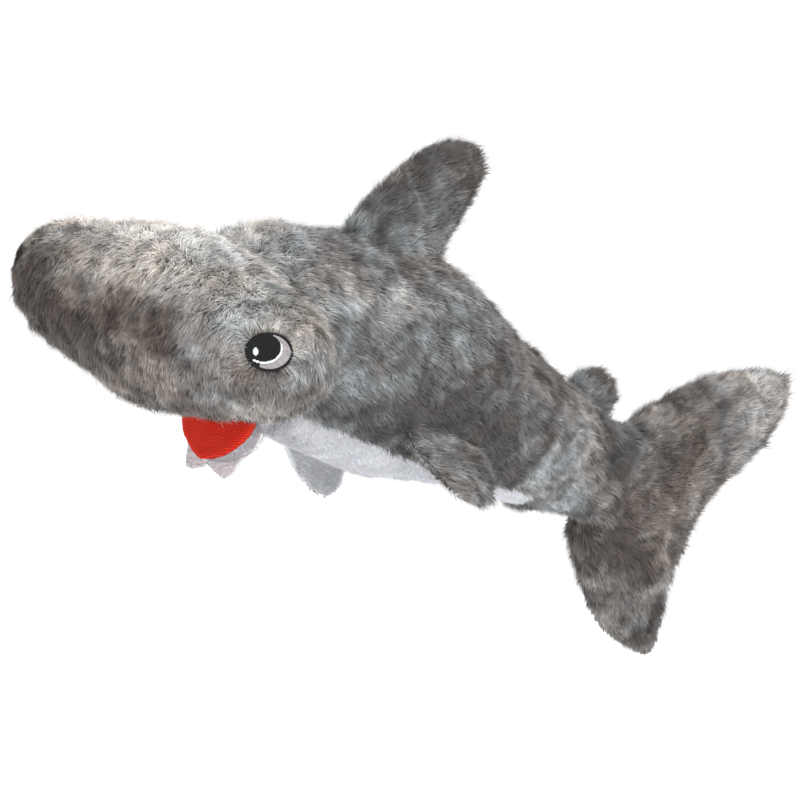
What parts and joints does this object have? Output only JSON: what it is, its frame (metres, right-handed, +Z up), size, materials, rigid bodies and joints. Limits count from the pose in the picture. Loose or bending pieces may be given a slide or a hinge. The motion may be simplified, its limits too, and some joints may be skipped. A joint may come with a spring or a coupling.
{
  "type": "plush shark",
  "caption": "Stuffed hammerhead shark toy sewn from long grey fur, with a white plush belly, an open red-lined mouth, embroidered eyes and soft bending fins, jaw, head and tail.",
  "frame": {"origin": "bottom centre of the bounding box, under the belly", "axes": "+Z up through the back; -Y along the nose and +Y to the tail; +X to the toy's own left"},
  "size_m": [0.162, 0.3858, 0.1639],
  "materials": {
    "grey_fur": "long-pile faux fur, mottled grey and brown",
    "white_plush": "short-pile plush, cold white",
    "red_knit": "fine ribbed knit",
    "white_felt": "felt",
    "filling": "loose polyester fibre",
    "embroidery": "satin stitch"
  },
  "bodies": {
    "trunk": {"back_panel_left": "grey_fur", "back_panel_right": "grey_fur", "belly_panel": "white_plush", "body_stuffing": "filling"},
    "head": {"head_top_panel": "grey_fur", "head_underside_panel": "grey_fur", "neck_panel": "grey_fur", "throat_panel": "white_plush", "head_stuffing": "filling", "eye_left": "embroidery", "eye_right": "embroidery", "palate_lining": "red_knit", "upper_teeth": "white_felt"},
    "jaw": {"jaw_lining": "red_knit", "jaw_wadding": "filling", "jaw_underside": "white_plush", "lower_teeth": "white_felt"},
    "dorsal_fin": {"dorsal_fin_left": "grey_fur", "dorsal_fin_right": "grey_fur", "dorsal_fin_stuffing": "filling"},
    "pectoral_left": {"pectoral_top_left": "grey_fur", "pectoral_underside_left": "white_plush", "pectoral_wadding_left": "filling"},
    "pectoral_right": {"pectoral_top_right": "grey_fur", "pectoral_underside_right": "white_plush", "pectoral_wadding_right": "filling"},
    "tail": {"tail_panel_left": "grey_fur", "tail_panel_right": "grey_fur", "tail_underside_panel": "white_plush", "tail_stuffing": "filling"},
    "second_dorsal": {"second_dorsal_left": "grey_fur", "second_dorsal_right": "grey_fur", "second_dorsal_wadding": "filling"},
    "tail_fin": {"tail_fin_left": "grey_fur", "tail_fin_right": "grey_fur", "tail_fin_stuffing": "filling"}
  },
  "joints": [
    {"name": "neck_nod", "type": "hinge", "parent": "trunk", "child": "head", "pos_m": [0, -0.11694, 0.067], "axis": [1, 0, 0], "range_deg": [-12, 8], "stiffness_Nm_per_rad": 1.2},
    {"name": "jaw_open", "type": "hinge", "parent": "head", "child": "jaw", "pos_m": [0, -0.11794, 0.032], "axis": [1, 0, 0], "range_deg": [-35, 10], "stiffness_Nm_per_rad": 0.05},
    {"name": "dorsal_fin_lean", "type": "hinge", "parent": "trunk", "child": "dorsal_fin", "pos_m": [0, -0.06794, 0.11501], "axis": [0, 0.9962, 0.0867], "range_deg": [-18, 18], "stiffness_Nm_per_rad": 0.15},
    {"name": "pectoral_left_lift", "type": "hinge", "parent": "trunk", "child": "pectoral_left", "pos_m": [0.0378, -0.03094, 0.04494], "axis": [0, -1, 0], "range_deg": [-62, 22], "stiffness_Nm_per_rad": 0.06},
    {"name": "pectoral_right_lift", "type": "hinge", "parent": "trunk", "child": "pectoral_right", "pos_m": [-0.0378, -0.03094, 0.04494], "axis": [0, 1, 0], "range_deg": [-4, 80], "stiffness_Nm_per_rad": 0.06},
    {"name": "tail_swing", "type": "hinge", "parent": "trunk", "child": "tail", "pos_m": [0, 0.03146, 0.069], "axis": [0, 0, 1], "range_deg": [-22, 22], "stiffness_Nm_per_rad": 0.6},
    {"name": "second_dorsal_lean", "type": "hinge", "parent": "tail", "child": "second_dorsal", "pos_m": [0, 0.07746, 0.08985], "axis": [0, 0.9831, -0.1829], "range_deg": [-15, 15], "stiffness_Nm_per_rad": 0.04},
    {"name": "tail_fin_swing", "type": "hinge", "parent": "tail", "child": "tail_fin", "pos_m": [0, 0.09506, 0.066], "axis": [0, 0, 1], "range_deg": [-25, 25], "stiffness_Nm_per_rad": 0.4}
  ]
}
